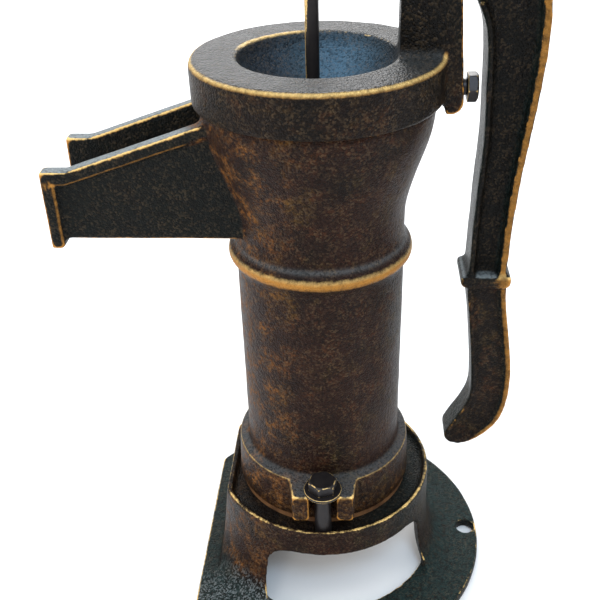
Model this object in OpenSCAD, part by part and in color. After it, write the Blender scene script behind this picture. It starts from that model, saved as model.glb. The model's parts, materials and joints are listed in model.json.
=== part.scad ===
/* [Base stand] */
// Radius of the round foot flange
flange_r = 99.5; // [99.5:0.5:104]
// Thickness of the foot flange
flange_t = 7; // [6:0.5:9]
// Distance from the pump axis to the straight edge of the flange
chord_x = 76; // [74:1:80]
// Height of the dish rim above the ground
rim_z = 67; // [66.5:0.5:68]
// Outer radius of the dish rim
rim_r = 64.8; // [64:0.4:66]
// Radius of the circle of flange bolts
anchor_circle_r = 92; // [90:0.5:92]
// Radius of each flange bolt hole
anchor_hole_r = 5.5; // [4.5:0.5:5.5]
// Tapping radius of the suction pipe socket
suction_r = 19.5; // [18:0.5:20]

/* [Barrel] */
// Bore radius of the cylinder
bore_r = 38; // [37.9:0.1:38.1]
// Outside radius of the cylinder
barrel_r = 45; // [44.8:0.1:46]
// Height of the half-round bead around the barrel
bead_z = 219; // [216:1:222]
// Outside radius of the flared neck
neck_r = 58; // [57.8:0.1:58.2]
// Half width of the spout over its rim
spout_half_w = 28; // [27:0.5:29]
// Reach of the spout from the pump axis
spout_x = 137; // [130:1:145]

/* [Cap and post] */
// Outside radius of the cap band
cap_r = 62; // [61.5:0.5:63]
// Height of the flat cap ring above the ground
cap_z = 321; // [320:0.5:322]
// Radius of the priming bowl at its lip
bowl_r = 38.5; // [37:0.5:39]
// Depth of the priming bowl
bowl_depth = 20; // [17:0.5:20.5]
// Width of the handle post at the fulcrum
post_w = 28.5; // [27.5:0.5:29]
// Thickness of the handle post
post_t = 23; // [22:0.5:24]

/* [Handle and rod] */
// Thickness of the handle across its rims
handle_t = 23; // [22:0.5:24]
// Thickness of the handle web
web_t = 10; // [8:0.5:10]
// Radius of the pump rod
rod_r = 3.4; // [3:0.1:3.6]
// Angle of the short arm above level at rest
arm_angle = 25; // [24:0.5:26]

/* [Hidden] */
$fn = 96;
iron = [0.13, 0.10, 0.09];
dark_steel = [0.16, 0.16, 0.17];
brass_tone = [0.70, 0.52, 0.24];
leather_tone = [0.45, 0.28, 0.15];

// Radial gap of a running pin, and radial bite that stands for a thread
fit_gap = 0.06;
thread_bite = 0.05;

// Heights of the base and of the joint between base and barrel
dish_z = 62;
band_z = 49;
socket_z = 30;
socket_top_z = 50;
port_r = 15;
leather_t = 3;
foot_z = dish_z + leather_t;
collar_z = 92.5;
ear_angle = 2;
ear_bolt_r = 57;
base_bolt_r = 4.75;
washer_t = 2;

// Heights of the neck and of the cap
neck_start_z = 238;
neck_end_z = 297;
seat_z = 311;
band_low_z = 298.5;
skirt_gap = 0.4;
rim_out_r = neck_r - 1;
wall = 7;
hole_r = 14;

// The post carries the fulcrum, and the short arm reaches back over the rod
post_x = 53.4;
post_low_z = 293;
fulcrum_z = 400;
fulcrum_r = 5;
slot_w = 11;
slot_low_z = 346;
rod_x = -2.3;
arm_len = (post_x - rod_x) / cos(arm_angle);
pin_z = fulcrum_z + arm_len * sin(arm_angle);
pin_r = 4;
rod_eye_t = 8;
fork_gap = 8.6;
screw_z = 303.5;
set_screw_r = 4;

// The plunger stands at the top of its stroke at rest
plunger_z = 178;
cup_z = plunger_z + 6;
cage_z = cup_z + 3.5;
seat_disc_z = cage_z + 5.5;
cell_z = seat_disc_z + 14;
button_z = cell_z + 5.2;
button_t = 4.5;
cell_top_z = cell_z + 11;
valve_port_r = 14;

function arc(cx, cy, rx, ry, a0, a1, n) =
    [for (i = [0:n]) [cx + rx * cos(a0 + (a1 - a0) * i / n), cy + ry * sin(a0 + (a1 - a0) * i / n)]];
function ease(t) = t * t * (3 - 2 * t);
function reversed(p) = [for (i = [len(p) - 1:-1:0]) p[i]];
function blend_point(a, b, c, d, t) =
    0.5 * (2 * b + (c - a) * t + (2 * a - 5 * b + 4 * c - d) * t * t + (3 * b - a - 3 * c + d) * t * t * t);
function curve(p, n) = concat([for (i = [0:len(p) - 2]) for (k = [0:n - 1])
    blend_point(p[max(i - 1, 0)], p[i], p[i + 1], p[min(i + 2, len(p) - 1)], k / n)], [p[len(p) - 1]]);
function side_of(p, i) = let(d = p[min(i + 1, len(p) - 1)] - p[max(i - 1, 0)]) [-d[1], d[0]] / norm(d);
function inset(p, d) = [for (i = [0:len(p) - 1]) p[i] + d * side_of(p, i)];
function part_of(p, a, b) = [for (i = [a:b]) p[i]];

// Extrudes an XZ outline to the thickness t, centred on the XZ plane
module across(t) {
    rotate([90, 0, 0]) linear_extrude(height = t, center = true) children();
}

module rod_between(r, z0, z1) {
    translate([0, 0, z0]) cylinder(r = r, h = z1 - z0);
}

module hexagon(af, h) {
    cylinder(r = af / sqrt(3), h = h, $fn = 6);
}

// A bolt head or nut of width af across its flats, with a chamfered top
module hex_head(af, h) {
    intersection() {
        hexagon(af, h);
        union() {
            cylinder(r = af, h = h - 1);
            translate([0, 0, h - 1]) cylinder(r1 = af / sqrt(3), r2 = af / sqrt(3) - 1.6, h = 1, $fn = 48);
        }
    }
}

// Places a piece at each of the two ears of the foot collar
module at_ears() {
    for (a = [0, 180]) rotate([0, 0, ear_angle + a]) translate([0, -ear_bolt_r, 0]) children();
}

// Base: foot flange, flared skirt with two windows and one flat side, dish and suction socket
flange_edge_r = 1.5;
flare_r = 18;
flare_x = 84;
flare_z = flange_t + flare_r;
skirt_wall = 6;
lip_t = 3.2;
foot_inner_r = 72.5;
flat_top_x = 57;
flat_lean = 0.14;
window_angle = 72;
window_half_w = 50;
window_z = 8;
function flat_x(z) = -flat_top_x - flat_lean * (rim_z - z);
function skirt_outside(rim_end) = concat(
    [[foot_inner_r, 0], [flange_r - flange_edge_r, 0]],
    arc(flange_r - flange_edge_r, flange_edge_r, flange_edge_r, flange_edge_r, -60, 0, 2),
    arc(flange_r - flange_edge_r, flange_t - flange_edge_r, flange_edge_r, flange_edge_r, 0, 90, 4),
    arc(flare_x, flare_z, flare_r, flare_r, 270, 180, 8),
    [[rim_r, 46]],
    arc(rim_r - lip_t / 2, rim_z - lip_t / 2, lip_t / 2, lip_t / 2, 0, rim_end, 6));
function skirt_inside() = concat(
    [[rim_r - lip_t, dish_z], [0, dish_z], [0, 52], [54, 52], [rim_r - skirt_wall, band_z]],
    arc(flare_x, flare_z, flare_r + skirt_wall, flare_r + skirt_wall, 180, 240, 6));

// Arched outline of a window, wider than high
module window_outline() {
    polygon(concat([[-window_half_w, window_z]],
        arc(-window_half_w + 15.5, band_z - 16, 12.5, 15.5, 180, 90, 6),
        arc(window_half_w - 15.5, band_z - 16, 12.5, 15.5, 90, 0, 6),
        [[window_half_w, window_z]]));
}

module base_window(a) {
    rotate([0, 0, a]) translate([75, 0, 0]) rotate([0, 0, 90]) across(80) window_outline();
}

// The wall behind the flat side, with a lip along the dish, and the strip of flange before it.
// It ends inside the round skirt's wall.
module flat_wall() {
    spare = 4;
    lip_z = rim_z - 0.4;
    mid_r = rim_r - lip_t / 2;
    intersection() {
        rotate_extrude() polygon(concat([[0, 0], [flare_x, 0], [flare_x, flange_t - 2]],
            arc(flare_x, flare_z, flare_r + 2, flare_r + 2, 270, 180, 6),
            [[mid_r, 46], [mid_r, lip_z + 0.2], [0, lip_z + 0.2]]));
        across(2 * flange_r) polygon([[flat_x(lip_z) - spare, lip_z], [flat_x(rim_z) + lip_t, lip_z],
            [flat_x(rim_z) + lip_t, dish_z - 1], [flat_x(dish_z) + skirt_wall, dish_z - 1],
            [flat_x(0) + skirt_wall, 0], [-chord_x - spare, 0], [-chord_x - spare, flange_t + 1],
            [flat_x(flange_t) - spare, flange_t + 1]]);
    }
}

module base() {
    color(iron) difference() {
        union() {
            rotate_extrude() polygon(concat(skirt_outside(180), skirt_inside()));
            flat_wall();
            rod_between(27, socket_z, dish_z - 5);
            at_ears() rod_between(7.5, band_z, dish_z - 2);
        }
        translate([-chord_x - 50, -110, -1]) cube([50, 220, 90]);
        across(2 * flange_r + 10) polygon([[flat_x(rim_z + 5), rim_z + 5],
            [flat_x(flange_t + fit_gap), flange_t + fit_gap], [-120, flange_t + fit_gap], [-120, rim_z + 5]]);
        base_window(-window_angle);
        base_window(window_angle);
        rod_between(suction_r, socket_z - 1, socket_top_z);
        rod_between(port_r, socket_top_z - 1, dish_z + 1);
        at_ears() rod_between(base_bolt_r - thread_bite, band_z - 1, dish_z + 1);
        for (a = [0, 120, 240]) rotate([0, 0, a + ear_angle]) translate([anchor_circle_r, 0, 0])
            rod_between(anchor_hole_r, -1, flange_t + 12);
    }
}

// Barrel: foot collar with forked ears, cylinder, bead, flared neck and open spout
function neck_radius(z) =
    barrel_r - 0.3 + (neck_r - barrel_r + 0.3) * ease((z - neck_start_z) / (neck_end_z - neck_start_z));
function neck_curve(d) = [for (i = [0:10]) let(z = neck_start_z + (neck_end_z - neck_start_z) * i / 10)
    [neck_radius(z) - d, z]];

module barrel_shell() {
    rotate_extrude() polygon(concat(
        [[bore_r, foot_z], [50.8, foot_z], [51.8, foot_z + 1.5]],
        arc(49.3, collar_z - 1.5, 1.5, 1.5, 0, 90, 3),
        arc(barrel_r + 2.5, collar_z + 2.5, 2.5, 2.5, 270, 180, 4),
        [[barrel_r, bead_z - 8]],
        arc(barrel_r - 0.6, bead_z, 5, 5, -60, 60, 8),
        [[barrel_r - 0.3, bead_z + 8]],
        neck_curve(0),
        [[rim_out_r, neck_end_z], [rim_out_r, seat_z], [rim_out_r - wall + 0.5, seat_z]],
        reversed(neck_curve(wall)),
        [[bore_r, neck_start_z - 6]]));
}

spout_low_z = 233;
spout_floor_z = 239;
spout_tip_z = 270.5;
lip_w = 7.5;
spout_in = 18.5;
spout_wall = 25.5;
rim_slope = 0.34;
rim_kink_x = -124;
function rim_top(x) = spout_tip_z + (x - rim_kink_x) * rim_slope;
rim_h = 7;
root_x = -47;
root_low_x = -34;
function spout_side() = [[-spout_x, spout_low_z], [root_low_x, spout_low_z], [root_low_x, rim_top(root_x)],
    [root_x, rim_top(root_x)], [rim_kink_x, spout_tip_z], [-spout_x, spout_tip_z]];
function rim_side() = [[-spout_x, spout_tip_z], [rim_kink_x, spout_tip_z], [root_x, rim_top(root_x)],
    [root_x, rim_top(root_x) - rim_h], [rim_kink_x, spout_tip_z - rim_h], [-spout_x, spout_tip_z - rim_h]];

// Square spout with its thicker rim and the lip across its mouth
module spout() {
    across(2 * spout_wall) polygon(spout_side());
    across(2 * spout_half_w) polygon(rim_side());
    across(2 * spout_half_w) polygon([[-spout_x, spout_low_z - 5], [-spout_x + 6, spout_low_z - 5],
        [-spout_x + lip_w, spout_low_z - 3], [-spout_x + lip_w, spout_tip_z], [-spout_x, spout_tip_z]]);
}

// Ear of the foot collar, and the slot that its bolt slides into
ear_low_z = 74.5;
ear_slot_r = 7.5;

module ear() {
    translate([0, 0, ear_low_z]) linear_extrude(height = collar_z - ear_low_z)
        polygon([[-19.6, 13], [-17.1, -5.5], [17.1, -5.5], [19.6, 13]]);
}

module ear_slot() {
    rod_between(ear_slot_r, ear_low_z - 0.5, collar_z + 1);
    translate([-ear_slot_r, -12, ear_low_z - 0.5]) cube([2 * ear_slot_r, 12, 20]);
}

// Space inside the barrel's wall, which the spout's root must not enter
module inside_barrel() {
    rotate_extrude() polygon(concat([[0, foot_z], [bore_r + 1, foot_z], [bore_r + 1, neck_start_z - 6]],
        neck_curve(wall - 1), [[0, neck_end_z + 1]]));
}

module barrel() {
    color(iron) difference() {
        union() {
            barrel_shell();
            difference() {
                spout();
                inside_barrel();
            }
            at_ears() ear();
        }
        rod_between(bore_r, 60, neck_start_z - 8);
        across(2 * spout_in) polygon([[-spout_x - 1, spout_floor_z], [-30, spout_floor_z], [-30, 285],
            [-52, 285], [-62, 300], [-spout_x - 1, 300]]);
        at_ears() ear_slot();
    }
}

// Two bolts that hold the barrel to the base, each with a washer
washer_r = 10.5;
base_head_af = 14.3;

module base_bolts() {
    color(dark_steel) at_ears() {
        rod_between(base_bolt_r, band_z + 1, collar_z + washer_t + 1);
        translate([0, 0, collar_z + washer_t]) rotate([0, 0, 15]) hex_head(base_head_af, 6.2);
    }
}

module base_washers() {
    color(dark_steel) at_ears() difference() {
        rod_between(washer_r, collar_z, collar_z + washer_t);
        rod_between(base_bolt_r + 0.3, collar_z - 1, collar_z + washer_t + 1);
    }
}

// Gasket ring with the tongue that the flap folds from
flap_x = 34;
flap_gap = 0.8;
tongue_w = 18;
flap_r = 24;
valve_screw_r = 3;
valve_hole_r = 3.1;
valve_head_af = 10;

module base_leather() {
    color(leather_tone) union() {
        difference() {
            rod_between(50.5, dish_z, foot_z);
            rod_between(bore_r, dish_z - 1, foot_z + 1);
        }
        translate([flap_x + flap_gap, -tongue_w / 2, dish_z])
            cube([bore_r - flap_x + 1, tongue_w, leather_t]);
    }
}

// Flap of the foot valve, with the iron weight, washer and screw that ride on it
module valve_leather() {
    color(leather_tone) difference() {
        union() {
            rod_between(flap_r, dish_z, foot_z);
            translate([15, -tongue_w / 2, dish_z]) cube([flap_x - flap_gap - 15, tongue_w, leather_t]);
        }
        rod_between(valve_hole_r, dish_z - 1, foot_z + 1);
    }
}

module valve_weight() {
    color(iron) rotate_extrude() polygon(concat([[valve_hole_r, foot_z], [18, foot_z], [19, foot_z + 2]],
        arc(11, foot_z + 14, 8, 8, -40, -90, 4), [[9, foot_z + 12], [valve_hole_r, foot_z + 12]]));
}

module valve_washer() {
    color(brass_tone) difference() {
        rod_between(12, dish_z - 2, dish_z);
        rod_between(valve_hole_r, dish_z - 3, dish_z + 1);
    }
}

module valve_screw() {
    color(brass_tone) {
        rod_between(valve_screw_r, dish_z - 6, foot_z + 13);
        translate([0, 0, foot_z + 12]) hex_head(valve_head_af, 4);
        translate([0, 0, dish_z - 6]) hexagon(valve_head_af, 4);
    }
}

// Cap: band, flat ring and priming bowl, with the forked post for the handle
module cap_ring() {
    rotate_extrude() polygon(concat(
        arc(hole_r, cap_z, bowl_r - hole_r, bowl_depth, -90, -5, 12),
        arc(bowl_r + 1.5, cap_z - 1.5, 1.5, 1.5, 170, 90, 3),
        arc(cap_r - 2.5, cap_z - 2.5, 2.5, 2.5, 90, 0, 4),
        [[cap_r, band_low_z + 2], [cap_r - 2, band_low_z], [rim_out_r + skirt_gap, band_low_z]],
        [[rim_out_r + skirt_gap, seat_z]],
        [[bowl_r + 5.5, seat_z]],
        arc(hole_r, cap_z, bowl_r - hole_r + 6, bowl_depth + 6, -25, -90, 9)));
}

// The post narrows to its neck, and widens again round the fulcrum and down to the set screw
post_neck_z = 346;
post_foot_x = post_x + 16.6;

module post_outline() {
    h = post_w / 2;
    polygon(concat(
        arc(post_foot_x - 6, post_low_z + 6, 6, 6, -90, 0, 5),
        [[post_x + 13, post_neck_z]],
        arc(post_x, fulcrum_z, h, h, 0, 180, 16),
        [[post_x - h - 0.8, post_neck_z], [post_x - h - 0.8, cap_z - 2], [cap_r - 1, cap_z - 2],
            [cap_r - 1, post_low_z]]));
}

// Forked post with the fulcrum's bore
module post() {
    difference() {
        across(post_t) post_outline();
        across(slot_w) polygon([[30, slot_low_z], [80, slot_low_z], [80, 430], [30, 430]]);
        translate([post_x, 0, fulcrum_z]) rotate([90, 0, 0])
            cylinder(r = fulcrum_r + fit_gap, h = post_t + 2, center = true);
    }
}

module cap() {
    color(iron) difference() {
        union() {
            cap_ring();
            post();
        }
        translate([50, 0, screw_z]) rotate([0, 90, 0]) cylinder(r = set_screw_r - thread_bite, h = 30);
    }
}

// Screw through the post's foot that bears on the barrel's rim
module set_screw() {
    tip_x = rim_out_r + 0.15;
    head_x = post_foot_x + 1.8;
    color(dark_steel) union() {
        translate([tip_x, 0, screw_z]) rotate([0, 90, 0]) cylinder(r = set_screw_r, h = head_x - tip_x + 1);
        translate([head_x, 0, screw_z]) rotate([0, 90, 0]) rotate([0, 0, 30]) hex_head(13, 5.3);
    }
}

// Fulcrum bolt through the post and the handle
fulcrum_washer_t = 1.6;
fulcrum_head_af = 16;
washer_out = post_t / 2 + fulcrum_washer_t;

module fulcrum_bolt() {
    color(dark_steel) translate([post_x, 0, fulcrum_z]) rotate([90, 0, 0]) {
        translate([0, 0, -washer_out - 9]) cylinder(r = fulcrum_r, h = 2 * washer_out + 9.5);
        translate([0, 0, washer_out]) hex_head(fulcrum_head_af, 6.5);
    }
}

module fulcrum_nut() {
    color(dark_steel) translate([post_x, 0, fulcrum_z]) rotate([-90, 0, 0]) translate([0, 0, washer_out])
        difference() {
            hex_head(fulcrum_head_af, 7);
            translate([0, 0, -1]) cylinder(r = fulcrum_r - thread_bite, h = 10);
        }
}

module fulcrum_washers() {
    color(dark_steel) for (s = [-1, 1])
        translate([post_x, s * (washer_out - fulcrum_washer_t / 2), fulcrum_z]) rotate([90, 0, 0])
            difference() {
                cylinder(r = washer_r, h = fulcrum_washer_t, center = true);
                cylinder(r = fulcrum_r + 0.2, h = 3, center = true);
            }
}

// Handle: arched I-section arm, square collar and curved grip
outer_rim_w = 4.4;
inner_rim_w = 3.2;
outer_edge = curve([[61, 416], [78, 408], [92, 388], [101, 366], [105.8, 346], [106.8, 328], [105.3, 302],
    [102, 270], [99.6, 240], [98.6, 203]], 3);
inner_edge = curve([[46, 384], [58, 373], [67, 358], [73, 345], [77.4, 334], [79.2, 318], [79.8, 298],
    [80.4, 278], [79.2, 248], [78.4, 203]], 3);
grip_right = curve([[99.8, 200], [100.4, 190], [102.5, 175], [105.6, 156], [107.8, 137], [107.2, 119],
    [103.4, 105], [96.5, 95.5], [88, 89], [81, 87]], 3);
grip_left = curve([[78.8, 200], [79.3, 190], [81.4, 175], [83.4, 157], [85.2, 138], [85.3, 123],
    [81, 111.5], [75.5, 101.5], [72.3, 93.5], [75, 88.6], [81, 87]], 3);
grip_t = 18;
grip_web_t = 13;
grip_right_rim_w = 3.5;
grip_left_rim_w = 3;
hub_r = 17;
fork_slot_r = 18;

// A band of width w along the edge p
module strip(p, w, t) {
    across(t) polygon(concat(p, reversed(inset(p, w))));
}

// Short arm from the fulcrum to the rod's pin
module arm_outline(from) {
    translate([post_x, fulcrum_z]) rotate(180 - arm_angle) polygon(concat(
        [[from, -13], [from, 13]],
        arc(arm_len, 0, 11, 11, 90, -90, 10)));
}

// Square collar between the arm and the grip
module collar() {
    across(2 * 13) polygon([[77, 197.5], [99.5, 197.5], [101.5, 200], [101.5, 203.5], [100.5, 204.5],
        [75.5, 204.5], [74.5, 203.5], [74.5, 200]]);
}

module handle() {
    color(iron) difference() {
        union() {
            across(web_t) polygon(concat(outer_edge, reversed(inner_edge)));
            across(web_t) arm_outline(0);
            across(handle_t) arm_outline(30);
            translate([post_x, 0, fulcrum_z]) rotate([90, 0, 0]) cylinder(r = hub_r, h = web_t, center = true);
            strip(part_of(outer_edge, 3, len(outer_edge) - 1), -outer_rim_w, handle_t);
            strip(part_of(inner_edge, 9, len(inner_edge) - 1), inner_rim_w, handle_t);
            collar();
            across(grip_web_t) polygon(concat(grip_right, reversed(grip_left)));
            strip(grip_right, -grip_right_rim_w, grip_t);
            strip(grip_left, grip_left_rim_w, grip_t);
        }
        translate([post_x, 0, fulcrum_z]) rotate([90, 0, 0])
            cylinder(r = fulcrum_r + fit_gap, h = 40, center = true);
        translate([rod_x, 0, pin_z]) rotate([90, 0, 0]) {
            cylinder(r = fork_slot_r, h = fork_gap, center = true);
            cylinder(r = pin_r + fit_gap, h = 40, center = true);
        }
    }
}

// Pin through the short arm and the rod's eye, held by a cotter
pin_head_r = 7;
cotter_wire_r = 1.2;
cotter_hole_r = 1.3;

module rod_pin() {
    color(dark_steel) translate([rod_x, 0, pin_z]) rotate([90, 0, 0]) difference() {
        union() {
            cylinder(r = pin_r, h = handle_t + 12, center = true);
            translate([0, 0, handle_t / 2 + 0.3]) cylinder(r = pin_head_r, h = 3.5);
        }
        translate([0, 0, -handle_t / 2 - 3]) rotate([0, 90, 0])
            cylinder(r = cotter_hole_r, h = 20, center = true);
    }
}

module rod_cotter() {
    color(dark_steel) translate([rod_x, handle_t / 2 + 3, pin_z]) union() {
        rotate([0, 90, 0]) cylinder(r = cotter_wire_r, h = 15, center = true);
        translate([-7.5, 0, 0]) rotate([90, 0, 0]) rotate_extrude()
            translate([2.4, 0]) circle(r = 1.1, $fn = 24);
    }
}

// Rod with its flat eye, and the button that hangs in the plunger cell
rod_eye_r = 9.5;
button_r = 14;

module rod() {
    color(dark_steel) translate([rod_x, 0, 0]) difference() {
        union() {
            rod_between(rod_r, button_z, pin_z - 4);
            translate([0, 0, pin_z]) rotate([90, 0, 0]) cylinder(r = rod_eye_r, h = rod_eye_t, center = true);
            rod_between(rod_r + 0.35, pin_z - 24, pin_z - 6);
        }
        translate([0, 0, pin_z]) rotate([90, 0, 0]) cylinder(r = pin_r + fit_gap, h = 20, center = true);
    }
}

module rod_button() {
    color(dark_steel) translate([rod_x, 0, 0]) difference() {
        rod_between(button_r, button_z, button_z + button_t);
        rod_between(rod_r - thread_bite, button_z - 1, button_z + button_t + 1);
    }
}

// Plunger: cage that screws into its cap round the rod button, cup leather and follower ring
leg_w = 7;
follower_screw_r = 2.5;
follower_r = 32;
cage_thread_r = 25;

module at_follower_screws() {
    for (a = [0:120:240]) rotate([0, 0, a]) translate([25.5, 0, 0]) children();
}

module cage_cap() {
    color(brass_tone) difference() {
        rod_between(29, cell_z + 4, cell_top_z + 5);
        rod_between(12, cell_z, cell_top_z + 6);
        rod_between(cage_thread_r - thread_bite, cell_z, cell_top_z);
    }
}

module plunger_cage() {
    color(brass_tone) difference() {
        union() {
            rod_between(31, cage_z, seat_disc_z);
            for (a = [45:90:315]) rotate([0, 0, a]) translate([20, -leg_w / 2, seat_disc_z - 1])
                cube([leg_w, leg_w, cell_z - seat_disc_z + 2]);
            rod_between(cage_thread_r, cell_z, cell_top_z);
            rod_between(28, cell_z, cell_z + 3);
        }
        rod_between(23, cell_z + 3, cell_top_z + 1);
        rod_between(valve_port_r, cage_z - 1, seat_disc_z + 1);
        at_follower_screws() rod_between(follower_screw_r - thread_bite, cage_z - 1, seat_disc_z + 1);
    }
}

module cup_leather() {
    lip_r = bore_r - 0.3;
    color(leather_tone) difference() {
        rotate_extrude() polygon(concat([[valve_port_r + 0.5, cup_z]],
            arc(lip_r - 3, cup_z + 3, 3, 3, -90, 0, 4),
            [[lip_r, cup_z + 16], [lip_r - 2.8, cup_z + 16], [lip_r - 3.5, cage_z],
                [valve_port_r + 0.5, cage_z]]));
        at_follower_screws() rod_between(follower_screw_r + 0.2, cup_z - 1, cage_z + 1);
    }
}

module follower_ring() {
    color(brass_tone) difference() {
        rod_between(follower_r, plunger_z, cup_z);
        rod_between(valve_port_r + 0.5, plunger_z - 1, cup_z + 1);
        at_follower_screws() rod_between(follower_screw_r + 0.2, plunger_z - 1, cup_z + 1);
    }
}

module follower_screws() {
    color(dark_steel) at_follower_screws() {
        rod_between(follower_screw_r, plunger_z - 1, seat_disc_z);
        translate([0, 0, plunger_z]) rotate([180, 0, 0]) hex_head(8, 3.5);
    }
}

// Winged poppet that lifts off the cage's seat
module plunger_valve() {
    color(brass_tone) union() {
        rod_between(17, seat_disc_z, seat_disc_z + 4);
        intersection() {
            rod_between(valve_port_r - 0.3, plunger_z + 4, seat_disc_z + 1);
            for (a = [0, 60, 120]) rotate([0, 0, a]) translate([-20, -1.5, plunger_z]) cube([40, 3, 30]);
        }
    }
}

base();
barrel();
base_bolts();
base_washers();
base_leather();
valve_leather();
valve_weight();
valve_washer();
valve_screw();
cap();
set_screw();
fulcrum_bolt();
fulcrum_nut();
fulcrum_washers();
handle();
rod_pin();
rod_cotter();
rod();
rod_button();
cage_cap();
plunger_cage();
cup_leather();
follower_ring();
follower_screws();
plunger_valve();
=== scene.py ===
"""Antique cast-iron pitcher pump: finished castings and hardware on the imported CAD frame."""
import json
import math

import bpy
import numpy as np
from mathutils import Matrix, Vector, noise


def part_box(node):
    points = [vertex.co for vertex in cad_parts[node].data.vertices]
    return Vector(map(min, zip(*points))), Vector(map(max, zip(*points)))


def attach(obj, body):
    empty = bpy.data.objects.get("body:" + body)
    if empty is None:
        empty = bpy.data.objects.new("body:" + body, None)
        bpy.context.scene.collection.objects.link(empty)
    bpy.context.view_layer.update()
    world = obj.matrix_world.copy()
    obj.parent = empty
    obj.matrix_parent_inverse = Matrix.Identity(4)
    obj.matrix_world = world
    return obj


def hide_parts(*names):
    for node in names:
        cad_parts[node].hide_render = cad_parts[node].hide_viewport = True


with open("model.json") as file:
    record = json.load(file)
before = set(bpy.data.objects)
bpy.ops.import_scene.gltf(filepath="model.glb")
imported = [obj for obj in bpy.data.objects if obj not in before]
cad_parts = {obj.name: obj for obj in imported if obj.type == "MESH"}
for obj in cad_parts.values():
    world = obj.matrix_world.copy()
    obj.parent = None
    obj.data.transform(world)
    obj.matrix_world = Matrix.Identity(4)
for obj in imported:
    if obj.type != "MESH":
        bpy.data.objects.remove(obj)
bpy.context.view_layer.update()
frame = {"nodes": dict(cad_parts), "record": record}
MM = 0.001
BODY_OF = {node: body for body, nodes in frame["record"]["behaviour"]["bodies"].items() for node in nodes}
SLOT_OF = {part["node"]: part["material_slot"] for part in frame["record"]["subparts"]}


# ---------------------------------------------------------------- shader helpers
def put(tree, kind, sockets=(), **settings):
    """Adds a shader node; a socket value links, any other value is set."""
    item = tree.nodes.new("ShaderNode" + kind)
    for name, value in settings.items():
        setattr(item, name, value)
    for key, value in dict(sockets).items():
        if isinstance(value, bpy.types.NodeSocket):
            tree.links.new(value, item.inputs[key])
        else:
            item.inputs[key].default_value = value
    return item


def noise_value(tree, where, scale, detail=2.0, rough=0.5, shift=0.0):
    """Noise from 0 to 1 with `scale` cells per metre."""
    moved = put(tree, "VectorMath", {0: where, 1: (shift, shift * 0.7, -shift)}, operation="ADD")
    return put(tree, "TexNoise", {"Vector": moved.outputs[0], "Scale": scale, "Detail": detail,
                                  "Roughness": rough}).outputs["Fac"]


def step(tree, value, low, high):
    """Smooth step of a value from 0 at low to 1 at high."""
    item = put(tree, "MapRange", {0: value, 1: low, 2: high}, interpolation_type="SMOOTHSTEP")
    return item.outputs[0]


def calc(tree, kind, a, b, clamp=False):
    return put(tree, "Math", {0: a, 1: b}, operation=kind, use_clamp=clamp).outputs[0]


def times(tree, a, b, clamp=False):
    return calc(tree, "MULTIPLY", a, b, clamp)


def plus(tree, a, b):
    return calc(tree, "ADD", a, b)


def scatter(tree, value, reach):
    """A 0 to 1 noise turned into one round 0, as wide as reach."""
    return times(tree, calc(tree, "SUBTRACT", value, 0.5), reach)


def blend(tree, factor, a, b):
    """Mix of two colours."""
    item = put(tree, "Mix", {0: factor, 6: a, 7: b}, data_type="RGBA")
    return item.outputs[2]


def colour(r, g, b):
    return (r, g, b, 1.0)


def attribute(tree, name):
    return put(tree, "Attribute", attribute_name=name).outputs["Fac"]


def new_material(name):
    material = bpy.data.materials.new(name)
    material.use_nodes = True
    tree = material.node_tree
    return material, tree, tree.nodes["Principled BSDF"]


# ---------------------------------------------------------------- materials
BLACK = colour(0.0034, 0.0032, 0.0027)
BROWN = colour(0.019, 0.0078, 0.0052)
RUST = colour(0.066, 0.021, 0.0095)
OCHRE = colour(0.165, 0.064, 0.015)
# Painted reflection tint, bluish green
REFLECTED_TEAL = colour(0.012, 0.027, 0.026)
OLIVE = colour(0.060, 0.046, 0.012)
# Colour of the painted reflection of the light above, inside the cap's bowl
BOWL_REFLECTION_BLUE = colour(0.080, 0.155, 0.225)
# Light grey of the painted highlights and painted glints
HIGHLIGHT_GREY = colour(0.20, 0.23, 0.24)
GOLD = colour(0.50, 0.225, 0.045)
# Light gold: the rubbed gold on steel, and the painted highlight on the castings' gold that faces up
PALE_GOLD = colour(0.92, 0.62, 0.23)
TAN = colour(0.13, 0.088, 0.048)

# Noise scales in cells per metre
BLOTCHES, RUST_TINTS, LUMPS, FINE_LUMPS, GRAINS = 22, 50, 95, 380, 1050
IRON_SPECULAR = 0.085


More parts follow.
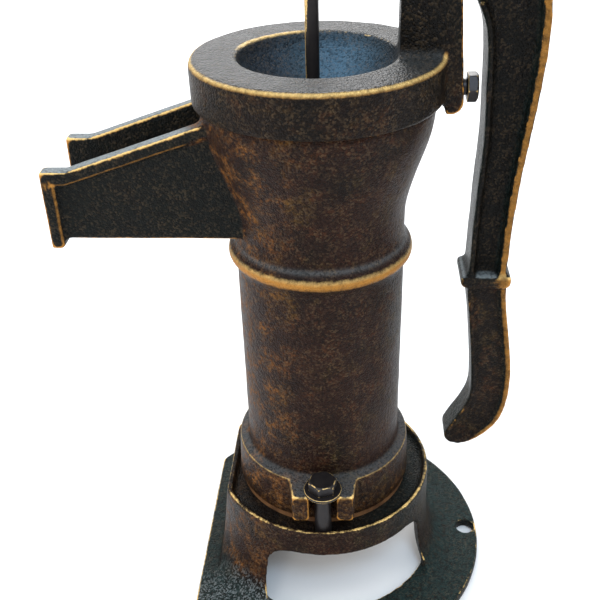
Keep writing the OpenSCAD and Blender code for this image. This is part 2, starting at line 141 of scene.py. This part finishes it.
def iron_colour(tree, where, noises, brown, rust, gold):
    """Paint under the gold, and how much of it is rust.

    It goes on in layers: black and brown, rust, the regions' tints with their painted reflections and
    highlights, then the casting's grains, partly painted glints, and corners darkened towards black."""
    coarse, medium, fine, grain = noises
    open_paint = calc(tree, "SUBTRACT", 1.0, attribute(tree, "sooty"))
    browned = times(tree, plus(tree, step(tree, coarse, 0.30, 0.62), 0.35), open_paint)
    dark = blend(tree, times(tree, browned, brown, clamp=True), BLACK, BROWN)

    patch = times(tree, step(tree, medium, 0.42, 0.72), step(tree, fine, 0.34, 0.66))
    patch = times(tree, patch, times(tree, attribute(tree, "rust"), rust), clamp=True)
    tint = noise_value(tree, where, RUST_TINTS, 2, 0.5, 2.1)
    rusty = blend(tree, step(tree, tint, 0.46, 0.56), RUST, OLIVE)
    dark = blend(tree, patch, dark, blend(tree, attribute(tree, "ochre"), rusty, OCHRE))

    # Painted reflection: a patchy bluish-green tint on faces turned to the light
    dark = blend(tree, times(tree, attribute(tree, "teal_reflection"), step(tree, fine, 0.22, 0.60)), dark, REFLECTED_TEAL)
    # Painted reflection: the bowl is painted bluish where it would mirror the light above
    dark = blend(tree, attribute(tree, "bowl_reflection"), dark, BOWL_REFLECTION_BLUE)
    # Painted highlight: light grey on top faces that would catch the light above
    dark = blend(tree, times(tree, attribute(tree, "top_highlight"), 0.9), dark, HIGHLIGHT_GREY)

    # Tan grains of the casting, partly painted glints of light on its sand grain
    speck = times(tree, step(tree, grain, 0.55, 1.0), step(tree, medium, 0.30, 0.60))
    speck = times(tree, speck, 0.36 * gold)
    speck = times(tree, speck, plus(tree, times(tree, open_paint, 0.4), 0.6))
    dark = blend(tree, speck, dark, TAN)
    dark = blend(tree, times(tree, step(tree, grain, 0.5, 0.0), 0.55), dark, BLACK)
    # Painted glints: light grey specks where the grains would catch the light
    dark = blend(tree, times(tree, attribute(tree, "painted_glints"), step(tree, grain, 0.45, 0.95)), dark, HIGHLIGHT_GREY)
    # Corners and hollows darken towards black
    return blend(tree, times(tree, attribute(tree, "cavity"), 0.75), dark, BLACK), patch


def gold_cover(tree, medium, fine, gold):
    """How much gold lies on each point: broken along the worn edges, fuller where a region is gilt."""
    broken = plus(tree, attribute(tree, "wear"), scatter(tree, fine, 0.75))
    broken = plus(tree, broken, scatter(tree, medium, 0.55))
    rubbed = times(tree, step(tree, broken, 0.34, 0.72), gold)
    gilt = plus(tree, attribute(tree, "gilt"), times(tree, fine, 0.5))
    gilt = times(tree, step(tree, gilt, 0.55, 1.15), 0.8)
    return calc(tree, "MAXIMUM", rubbed, gilt, clamp=True)


def antique_iron(name, brown=0.5, rust=1.0, gold=1.0, shine=0.34):
    """Sand-cast iron in black-brown paint, mottled with rust and dry-brushed with gold on its edges.

    The piece's attributes say where: wear (edges), cavity (corners, darkened towards black), and by region
    rust, ochre, gilt and sooty, which is paint that stayed black, and these painted lights: teal, a painted
    bluish-green reflection; blue, a painted reflection of the light above in the cap's bowl; pale, painted
    light grey highlights on top faces; and frost, painted glints."""
    material, tree, shader = new_material(name)
    where = put(tree, "TexCoord").outputs["Object"]
    coarse = noise_value(tree, where, BLOTCHES, 3, 0.55)
    medium = noise_value(tree, where, LUMPS, 5, 0.68, 0.31)
    fine = noise_value(tree, where, FINE_LUMPS, 3, 0.65, 0.77)
    grains = put(tree, "TexVoronoi", {"Vector": where, "Scale": GRAINS})
    grain = put(tree, "SeparateColor", {0: grains.outputs["Color"]}).outputs[0]

    paint, patch = iron_colour(tree, where, (coarse, medium, fine, grain), brown, rust, gold)
    cover = gold_cover(tree, medium, fine, gold)
    # Painted highlight: gold that faces up is painted a lighter gold, as if lit from above
    upward = put(tree, "SeparateXYZ", {0: put(tree, "TexCoord").outputs["Normal"]}).outputs[2]
    tone = blend(tree, step(tree, upward, 0.05, 0.7), GOLD, PALE_GOLD)
    tree.links.new(blend(tree, cover, paint, tone), shader.inputs["Base Color"])

    tree.links.new(times(tree, cover, 0.55), shader.inputs["Metallic"])
    rough = plus(tree, times(tree, medium, 0.22), shine - 0.06)
    rough = plus(tree, rough, times(tree, patch, 0.18))
    tree.links.new(plus(tree, rough, times(tree, cover, 0.06)), shader.inputs["Roughness"])
    shader.inputs["Specular IOR Level"].default_value = IRON_SPECULAR

    height = plus(tree, times(tree, grains.outputs["Distance"], -0.55), fine)
    sand = put(tree, "Bump", {"Strength": 0.8, "Distance": 0.0010, "Height": height})
    lumps = put(tree, "Bump", {"Strength": 0.5, "Distance": 0.0016, "Height": medium,
                               "Normal": sand.outputs[0]})
    tree.links.new(lumps.outputs[0], shader.inputs["Normal"])
    return material


def black_steel(name, gold=0.5, streaks=0.0):
    """Blackened turned steel, rubbed bright along its edges and, on a rod, in streaks along Z."""
    material, tree, shader = new_material(name)
    where = put(tree, "TexCoord").outputs["Object"]
    medium = noise_value(tree, where, 180, 4, 0.6)
    fine = noise_value(tree, where, 900, 3, 0.6, 0.4)
    dark = blend(tree, medium, colour(0.010, 0.010, 0.013), colour(0.035, 0.028, 0.026))
    drawn = put(tree, "VectorMath", {0: where, 1: (1.0, 1.0, 0.06)}, operation="MULTIPLY").outputs[0]
    streak = times(tree, step(tree, noise_value(tree, drawn, 260, 2, 0.5, 0.9), 0.5, 0.68), streaks)
    broken = plus(tree, attribute(tree, "wear"), calc(tree, "SUBTRACT", fine, 0.5))
    broken = plus(tree, broken, streak)
    rubbed = times(tree, step(tree, broken, 0.40, 0.85), gold)
    tree.links.new(blend(tree, rubbed, dark, PALE_GOLD), shader.inputs["Base Color"])
    shader.inputs["Metallic"].default_value = 0.55
    tree.links.new(plus(tree, times(tree, medium, 0.25), 0.26), shader.inputs["Roughness"])
    bump = put(tree, "Bump", {"Strength": 0.35, "Distance": 0.0003, "Height": fine})
    tree.links.new(bump.outputs[0], shader.inputs["Normal"])
    return material


def turned_brass(name):
    """Dull machined brass with fine tool rings and brown tarnish."""
    material, tree, shader = new_material(name)
    where = put(tree, "TexCoord").outputs["Object"]
    rings = put(tree, "TexWave", {"Vector": where, "Scale": 320, "Distortion": 0.6, "Detail": 1.0},
                wave_type="RINGS", rings_direction="Z").outputs["Fac"]
    tarnish = noise_value(tree, where, 90, 5, 0.6)
    tone = blend(tree, step(tree, tarnish, 0.42, 0.70), colour(0.60, 0.42, 0.17), colour(0.22, 0.13, 0.06))
    tree.links.new(tone, shader.inputs["Base Color"])
    shader.inputs["Metallic"].default_value = 1.0
    tree.links.new(plus(tree, times(tree, tarnish, 0.3), 0.22), shader.inputs["Roughness"])
    bump = put(tree, "Bump", {"Strength": 0.25, "Distance": 0.0002, "Height": rings})
    tree.links.new(bump.outputs[0], shader.inputs["Normal"])
    return material


def oiled_leather(name):
    """Brown leather with pebbled grain and darker oiled patches."""
    material, tree, shader = new_material(name)
    where = put(tree, "TexCoord").outputs["Object"]
    pebble = put(tree, "TexVoronoi", {"Vector": where, "Scale": 900}, feature="SMOOTH_F1").outputs["Distance"]
    patch = noise_value(tree, where, 70, 4, 0.6)
    tone = blend(tree, step(tree, patch, 0.35, 0.70), colour(0.23, 0.11, 0.045), colour(0.085, 0.037, 0.016))
    tree.links.new(tone, shader.inputs["Base Color"])
    tree.links.new(plus(tree, times(tree, patch, 0.25), 0.42), shader.inputs["Roughness"])
    bump = put(tree, "Bump", {"Strength": 0.4, "Distance": 0.0004, "Height": pebble})
    tree.links.new(bump.outputs[0], shader.inputs["Normal"])
    return material


def bare_casting(name):
    """Unpainted grey iron with a light bloom of rust."""
    material, tree, shader = new_material(name)
    where = put(tree, "TexCoord").outputs["Object"]
    patch = noise_value(tree, where, 120, 5, 0.65)
    grain = noise_value(tree, where, 1000, 2)
    tone = blend(tree, step(tree, patch, 0.45, 0.70), colour(0.10, 0.095, 0.09), colour(0.16, 0.07, 0.03))
    tree.links.new(tone, shader.inputs["Base Color"])
    shader.inputs["Metallic"].default_value = 0.4
    tree.links.new(plus(tree, times(tree, patch, 0.3), 0.4), shader.inputs["Roughness"])
    bump = put(tree, "Bump", {"Strength": 0.6, "Distance": 0.0006, "Height": grain})
    tree.links.new(bump.outputs[0], shader.inputs["Normal"])
    return material


# ---------------------------------------------------------------- mesh helpers
def apply_steps(piece, steps):
    """Runs a list of (modifier type, settings) on a piece and keeps the result as its mesh."""
    for kind, settings in steps:
        modifier = piece.modifiers.new(kind.title(), kind)
        for name, value in settings.items():
            setattr(modifier, name, value)
    ready = piece.evaluated_get(bpy.context.evaluated_depsgraph_get())
    mesh = bpy.data.meshes.new_from_object(ready)
    piece.modifiers.clear()
    piece.data = mesh


def remesh(size):
    """Rebuilds the surface from cubes of this size."""
    return ("REMESH", {"mode": "VOXEL", "voxel_size": size, "use_smooth_shade": True})


def swell(distance):
    """Moves the surface outwards along its normals."""
    return ("DISPLACE", {"strength": distance, "mid_level": 0.0})


def points_of(mesh):
    points = np.empty(len(mesh.vertices) * 3)
    mesh.vertices.foreach_get("co", points)
    return points.reshape(-1, 3)


def normals_of(mesh):
    normals = np.empty(len(mesh.vertices) * 3)
    mesh.vertices.foreach_get("normal", normals)
    return normals.reshape(-1, 3)


def smoothed(points, edges, rounds):
    """Points after so many rounds of averaging with their neighbours."""
    a, b = edges[:, 0], edges[:, 1]
    count = len(points)
    degree = np.bincount(a, minlength=count) + np.bincount(b, minlength=count)
    for _ in range(rounds):
        sums = np.stack([np.bincount(a, points[b, k], count) + np.bincount(b, points[a, k], count)
                         for k in range(3)], axis=1)
        points = 0.5 * points + 0.5 * sums / degree[:, None]
    return points


def convexity(mesh, rounds):
    """How far each point stands out of its smoothed surroundings, against the smoothing's reach."""
    edges = np.empty(len(mesh.edges) * 2, dtype=np.int32)
    mesh.edges.foreach_get("vertices", edges)
    edges = edges.reshape(-1, 2)
    points = points_of(mesh)
    length = np.linalg.norm(points[edges[:, 0]] - points[edges[:, 1]], axis=1).mean()
    out = ((points - smoothed(points, edges, rounds)) * normals_of(mesh)).sum(axis=1)
    return out / (length * math.sqrt(rounds))


def store(mesh, name, values):
    """Keeps one number from 0 to 1 at each point, for the materials to read."""
    layer = mesh.attributes.new(name, "FLOAT", "POINT")
    layer.data.foreach_set("value", np.clip(values, 0.0, 1.0).astype(np.float32))


def ramp(values, low, high):
    """Smooth step for arrays."""
    t = np.clip((values - low) / (high - low), 0.0, 1.0)
    return t * t * (3 - 2 * t)


def near(values, middle, width):
    """A soft stripe: 1 at the middle, falling away over the width."""
    return np.exp(-((values - middle) / width) ** 2)


# Smoothing rounds that find sharp edges and broad ones, and the convexity where each starts and is full
NARROW_ROUNDS, WIDE_ROUNDS = 8, 60
WORN_NARROW, WORN_WIDE, HOLLOW = (0.05, 0.22), (0.06, 0.26), (0.03, 0.2)
# Size and depth of a sand casting's slow hollows
HOLLOW_CELL, HOLLOW_DEPTH = 14 * MM, 0.35 * MM


def unevenness(points, cell, depth):
    """Slow hollows of a sand casting, from 0 down to -depth."""
    return np.array([-depth * (0.5 + 0.5 * noise.noise(Vector(p) / cell)) for p in points])


def casting(node, voxel, fillet, keep, regions, rough=HOLLOW_DEPTH):
    """A cast copy of a CAD node: inside corners filled, edges softened, surface uneven."""
    source = frame["nodes"][node]
    piece = bpy.data.objects.new(node + "_casting", source.data.copy())
    bpy.context.scene.collection.objects.link(piece)
    steps = [remesh(voxel)]
    if fillet:
        steps += [swell(fillet), remesh(voxel), swell(-fillet), remesh(voxel)]
    apply_steps(piece, steps + [("SMOOTH", {"factor": 0.5, "iterations": 3})])
    mesh = piece.data
    narrow = convexity(mesh, NARROW_ROUNDS)
    wide = convexity(mesh, WIDE_ROUNDS)
    points, normals = points_of(mesh), normals_of(mesh)
    zones = regions(points, normals)
    worn = ramp(narrow, *WORN_NARROW) * 0.8 + ramp(wide, *WORN_WIDE) * 0.3
    store(mesh, "wear", worn * zones.pop("worn", 1.0))
    store(mesh, "cavity", ramp(-narrow, *HOLLOW) * 0.6 + ramp(-wide, *HOLLOW) * 0.5)
    for name, values in zones.items():
        store(mesh, name, values)
    if rough:
        low, high = (np.array(corner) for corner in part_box(node))
        moved = points + normals * unevenness(points, HOLLOW_CELL, rough)[:, None]
        mesh.vertices.foreach_set("co", np.clip(moved, low, high).ravel())
    if keep < 1:
        apply_steps(piece, [("DECIMATE", {"ratio": keep})])
    piece.data.materials.clear()
    return piece


def finish_piece(piece, node, material):
    """Gives a piece its material and ties it to the frame in place of its CAD node."""
    piece.data.materials.append(material)
    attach(piece, BODY_OF[node])
    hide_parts(node)


# ---------------------------------------------------------------- regions of each casting
# Each takes points and normals, and says how strong each tint is there. "worn" scales the worn edges.
def from_axis(p):
    """Distance of each point from the barrel's axis."""
    return np.hypot(p[:, 0], p[:, 1])


def base_regions(p, n):
    x, y, z = p.T
    up = ramp(n[:, 2], 0.5, 0.9)
    low = 1 - ramp(z, 12 * MM, 22 * MM)
    left = ramp(-x, 10 * MM, 50 * MM)
    dish = ramp(z, 59 * MM, 61 * MM) * (1 - ramp(from_axis(p), 60 * MM, 62 * MM))
    under_rim = 1 - ramp(z, 56 * MM, 62 * MM)
    rim = ramp(z, 63 * MM, 66 * MM) * ramp(from_axis(p), 60 * MM, 63 * MM)
    return {"rust": np.clip(1.2 - low, 0.25, 1) * (0.35 + 0.65 * left) * (1 - 0.8 * dish),
            "ochre": left,
            # Painted reflection: bluish green on the flange's upward faces and the base's right side
            "teal_reflection": 0.8 * up * low + 0.35 * ramp(x, 0.0, 60 * MM),
            "sooty": 0.8 * np.maximum(dish, low),
            "worn": 0.85 - 0.75 * under_rim * (1 - low),
            # Painted glints on the low left of the flange
            "painted_glints": 0.5 * low * ramp(-x, 0.0, 25 * MM) * ramp(-y, 30 * MM, 60 * MM),
            "gilt": 0.35 * left * rim}


BEAD_MIDDLE, BEAD_TOP, COLLAR_TOP, COLLAR_EDGE = 219 * MM, 225.5 * MM, 93 * MM, 91.6 * MM
RIM_LOW_Z, RIM_KINK_X, RIM_SLOPE = 263.5 * MM, -124 * MM, 0.34
MOUTH_EDGE_X = -130.2 * MM


def proud_of_walls(p):
    """1 on the outer faces of the spout's rim and mouth, 0 on its side walls."""
    return ramp(np.abs(p[:, 1]), 25.8 * MM, 27 * MM)


def rim_edge(p):
    """The lower edge of the spout's rim."""
    low_z = RIM_LOW_Z + RIM_SLOPE * np.maximum(p[:, 0] - RIM_KINK_X, 0.0)
    return near(p[:, 2] - low_z, 0.5 * MM, 1.0 * MM) * proud_of_walls(p)


def spout_area(p, n):
    """The spout, with its side walls as far as the neck."""
    walls = ramp(np.abs(n[:, 1]), 0.90, 0.97) * ramp(-p[:, 0], 30 * MM, 40 * MM)
    walls *= ramp(p[:, 2], 231 * MM, 234 * MM)
    return np.maximum(ramp(from_axis(p), 62 * MM, 70 * MM), walls)


def barrel_gilt(p, spout):
    x, z, radius = p[:, 0], p[:, 2], from_axis(p)
    bead = near(z, BEAD_MIDDLE, 4 * MM) * ramp(radius, 46 * MM, 48.5 * MM)
    collar = ramp(92 * MM - z, 0.0, 2 * MM) * ramp(radius, 50 * MM, 51.5 * MM)
    collar_edge = near(z, COLLAR_EDGE, 0.9 * MM) * ramp(radius, 49.3 * MM, 50.3 * MM)
    mouth = ramp(-x, 129 * MM, 131 * MM)
    mouth_edge = near(x, MOUTH_EDGE_X, 0.9 * MM) * ramp(265 * MM - z, 0.0, 2 * MM) * proud_of_walls(p)
    return (0.8 * bead + 0.35 * collar + 0.55 * collar_edge + 0.27 * mouth
            + 0.45 * mouth_edge + 0.6 * rim_edge(p) * spout)


def barrel_regions(p, n):
    x, y, z = p.T
    spout = spout_area(p, n)
    left = ramp(-x - 0.3 * y, 8 * MM, 50 * MM) * (1 - spout)
    # Painted highlights: the tops of the spout's walls, the fillet over the bead and the collar's top
    wall_top = ramp(n[:, 2], 0.75, 0.9) * ramp(z, 265 * MM, 268 * MM) * spout
    bead_fillet = near(z, BEAD_TOP, 1.3 * MM) * ramp(from_axis(p), 44 * MM, 46 * MM)
    collar_top = ramp(n[:, 2], 0.4, 0.8) * near(z, COLLAR_TOP, 2 * MM)
    return {"rust": (0.3 + 0.7 * left) * (1 - 0.85 * spout),
            "ochre": 0.15 + 0.85 * left,
            # Painted reflection: a faint bluish-green tint on the spout
            "teal_reflection": 0.12 * spout,
            "sooty": 0.95 * spout,
            "top_highlight": wall_top + 0.3 * (bead_fillet + collar_top),
            "gilt": barrel_gilt(p, spout)}


# The painted reflection of the light above in the bowl is strongest round this direction from the pump's axis
REFLECTION_AZIMUTH, REFLECTION_WIDTH = math.radians(72), math.radians(40)
CAP_EDGE_RADIUS, BOWL_LIP_RADIUS = 61 * MM, 40 * MM


def cap_regions(p, n):
    x, y, z = p.T
    radius = from_axis(p)
    post = ramp(z, 322 * MM, 326 * MM)
    ring = 1 - post
    bowl = (1 - ramp(radius, 36 * MM, 41 * MM)) * ramp(n[:, 2], -0.2, 0.2)
    band = ramp(radius, 59 * MM, 61 * MM) * ramp(330 * MM - z, 0.0, 5 * MM)
    edge = near(radius, CAP_EDGE_RADIUS, 1.6 * MM) * ramp(z, 317.5 * MM, 319 * MM) * ring
    lip = near(radius, BOWL_LIP_RADIUS, 1.8 * MM) * ramp(z, 318 * MM, 320 * MM) * ring
    far_left = ramp(-x, -5 * MM, 15 * MM) * ramp(y, 0.0, 15 * MM)
    brightest_reflection = near(np.arctan2(y, x), REFLECTION_AZIMUTH, REFLECTION_WIDTH)
    post_front = post * (1 - ramp(x, 62 * MM, 66 * MM))
    return {"rust": 0.45 * band * ring + 0.1 * post,
            "ochre": 0.4 * band,
            # Painted reflection in the bowl, strongest on its far right wall
            "bowl_reflection": bowl * (0.15 + 0.85 * brightest_reflection),
            # Painted highlight: the flat top of the cap's ring a little lighter grey
            "top_highlight": 0.15 * (1 - band) * ring * (1 - bowl),
            "sooty": 0.85 * post + 0.4 * band * ring,
            "worn": 1 - 0.7 * post_front,
            "gilt": 0.7 * edge + (0.35 + 0.4 * far_left) * lip}


# Middle line of the handle's arm and grip, between its two rims
GRIP_MIDDLE_Z = np.array([0.087, 0.105, 0.137, 0.200, 0.248, 0.302, 0.346, 0.388])
GRIP_MIDDLE_X = np.array([0.082, 0.094, 0.0965, 0.089, 0.0895, 0.0925, 0.090, 0.074])
HANDLE_COLLAR_TOP = 204.5 * MM


def handle_regions(p, n):
    x, y, z = p.T
    outer = ramp(x - np.interp(z, GRIP_MIDDLE_Z, GRIP_MIDDLE_X), 0.0, 6 * MM)
    rim_face = ramp(np.abs(n[:, 1]), 0.6, 0.9) * ramp(np.abs(y), 7.5 * MM, 9 * MM)
    grip = 1 - ramp(z, 195 * MM, 205 * MM)
    return {"rust": 0.1 + 0.5 * grip,
            "ochre": 0.3 * grip,
            # Painted reflection: bluish green on faces turned to the left
            "teal_reflection": 0.5 * ramp(-n[:, 0], 0.3, 0.8),
            "sooty": 0.95 - 0.5 * grip,
            # Painted highlight on the top of the handle's collar
            "top_highlight": ramp(n[:, 2], 0.7, 0.9) * near(z, HANDLE_COLLAR_TOP, 2 * MM),
            "worn": 0.45 + 0.55 * outer,
            "gilt": 0.62 * outer * rim_face}


def plain_regions(p, n):
    """Hardware has no tints, only the wear of its edges."""
    return {}


# ---------------------------------------------------------------- pieces
def make_castings():
    """Node, voxel size, fillet, share of faces kept, regions and paint of each casting."""
    plan = [
        ("base", 0.95 * MM, 1.4 * MM, 0.5, base_regions, antique_iron("base_paint", 0.9, 1.4, 0.9)),
        ("barrel", 0.88 * MM, 0.8 * MM, 0.4, barrel_regions, antique_iron("barrel_paint", 0.9, 1.9, 0.9)),
        ("cap", 0.95 * MM, 1.6 * MM, 0.5, cap_regions, antique_iron("cap_paint", 0.4, 0.8, 1.0, 0.30)),
        ("handle", 0.95 * MM, 1.5 * MM, 0.5, handle_regions,
         antique_iron("handle_paint", 0.35, 0.8, 0.9, 0.30)),
    ]
    for node, voxel, fillet, keep, regions, material in plan:
        finish_piece(casting(node, voxel, fillet, keep, regions), node, material)


# Share of a hardware piece's faces that is kept
HARDWARE_SHARE = 0.6


def make_hardware():
    """Bolts, pins and the rod, each with its voxel size in millimetres."""
    steel = black_steel("black_steel", 0.7)
    rod_steel = black_steel("rod_steel", 0.9, 0.75)
    plan = [("base_bolts", 0.42), ("base_washers", 0.4), ("set_screw", 0.36), ("fulcrum_bolt", 0.42),
            ("fulcrum_nut", 0.36), ("fulcrum_washers", 0.36), ("rod_pin", 0.42), ("rod_cotter", 0.3),
            ("rod", 0.5)]
    for node, voxel in plan:
        piece = casting(node, voxel * MM, 0, HARDWARE_SHARE, plain_regions, rough=0)
        finish_piece(piece, node, rod_steel if node == "rod" else steel)


def finish_inner_nodes():
    """The CAD nodes inside the pump keep their shape and take a finish."""
    finishes = {"brass": turned_brass("turned_brass"), "leather": oiled_leather("oiled_leather"),
                "weight_iron": bare_casting("bare_casting"), "bolt_steel": black_steel("screw_steel"),
                "rod_steel": black_steel("button_steel")}
    for node, obj in frame["nodes"].items():
        if not obj.hide_render:
            obj.data.materials.clear()
            obj.data.materials.append(finishes[SLOT_OF[node]])


# ---------------------------------------------------------------- stage
CAMERA_AT = Vector((20.9, -418.9, 439.7)) * MM
CAMERA_YAW, CAMERA_DOWN, CAMERA_ROLL = math.radians(-4.47), math.radians(31.515), math.radians(-1.767)
CAMERA_LENS = 52.85


def make_camera():
    """Camera that looks along a heading, tilted down and rolled a little."""
    down = math.cos(CAMERA_DOWN)
    ahead = Vector((math.sin(CAMERA_YAW) * down, math.cos(CAMERA_YAW) * down, -math.sin(CAMERA_DOWN)))
    level = Vector((math.cos(CAMERA_YAW), -math.sin(CAMERA_YAW), 0))
    above = level.cross(ahead)
    right = math.cos(CAMERA_ROLL) * level + math.sin(CAMERA_ROLL) * above
    up = math.cos(CAMERA_ROLL) * above - math.sin(CAMERA_ROLL) * level
    data = bpy.data.cameras.new("camera")
    data.lens = CAMERA_LENS
    data.clip_start = 0.01
    camera = bpy.data.objects.new("camera", data)
    place = Matrix((right, up, -ahead)).transposed().to_4x4()
    place.translation = CAMERA_AT
    camera.matrix_world = place
    bpy.context.scene.collection.objects.link(camera)
    bpy.context.scene.camera = camera


PUMP_MIDDLE = Vector((0, 0, 0.22))
FLOOR_REACH = 6.0
FLOOR_GREY = 0.93
SKY_TINT = colour(0.97, 0.985, 1.0)
SKY_STRENGTH = 0.75


def softbox(name, at, size, power, tint):
    """A rectangular light that faces the middle of the pump."""
    data = bpy.data.lights.new(name, "AREA")
    data.shape = "RECTANGLE"
    data.size, data.size_y = size
    data.energy = power
    data.color = tint
    lamp = bpy.data.objects.new(name, data)
    lamp.location = at
    aim = PUMP_MIDDLE - Vector(at)
    lamp.rotation_euler = aim.to_track_quat("-Z", "Y").to_euler()
    bpy.context.scene.collection.objects.link(lamp)


def make_floor():
    material, tree, shader = new_material("studio_floor")
    shader.inputs["Base Color"].default_value = colour(FLOOR_GREY, FLOOR_GREY, FLOOR_GREY)
    shader.inputs["Roughness"].default_value = 0.9
    shader.inputs["Specular IOR Level"].default_value = 0.0
    mesh = bpy.data.meshes.new("floor")
    corners = [(x * FLOOR_REACH, y * FLOOR_REACH, 0) for x, y in ((-1, -1), (1, -1), (1, 1), (-1, 1))]
    mesh.from_pydata(corners, [], [(0, 1, 2, 3)])
    mesh.materials.append(material)
    floor = bpy.data.objects.new("floor", mesh)
    bpy.context.scene.collection.objects.link(floor)


def make_lights():
    world = bpy.data.worlds.new("studio")
    world.use_nodes = True
    sky = world.node_tree.nodes["Background"]
    sky.inputs[0].default_value = SKY_TINT
    sky.inputs[1].default_value = SKY_STRENGTH
    bpy.context.scene.world = world
    softbox("back_box", (-0.25, 1.5, 1.0), (1.3, 0.8), 22, (1.0, 1.0, 1.0))
    softbox("top_box", (0.0, -0.1, 1.6), (1.3, 1.3), 11, (0.90, 0.96, 1.0))
    softbox("left_box", (-1.3, -0.35, 0.6), (0.4, 1.0), 6, (1.0, 0.95, 0.88))
    softbox("right_box", (1.35, -0.15, 0.7), (0.35, 1.0), 3, (1.0, 0.97, 0.92))
    softbox("front_fill", (-0.45, -1.5, 0.9), (0.4, 0.4), 4, (1.0, 0.94, 0.86))
    softbox("blue_box", (0.25, -0.95, 1.45), (0.35, 0.35), 8, (0.55, 0.76, 1.0))


def set_view():
    view = bpy.context.scene.view_settings
    view.view_transform = "Standard"
    view.look = "None"


make_camera()
make_floor()
make_lights()
set_view()
make_castings()
make_hardware()
finish_inner_nodes()
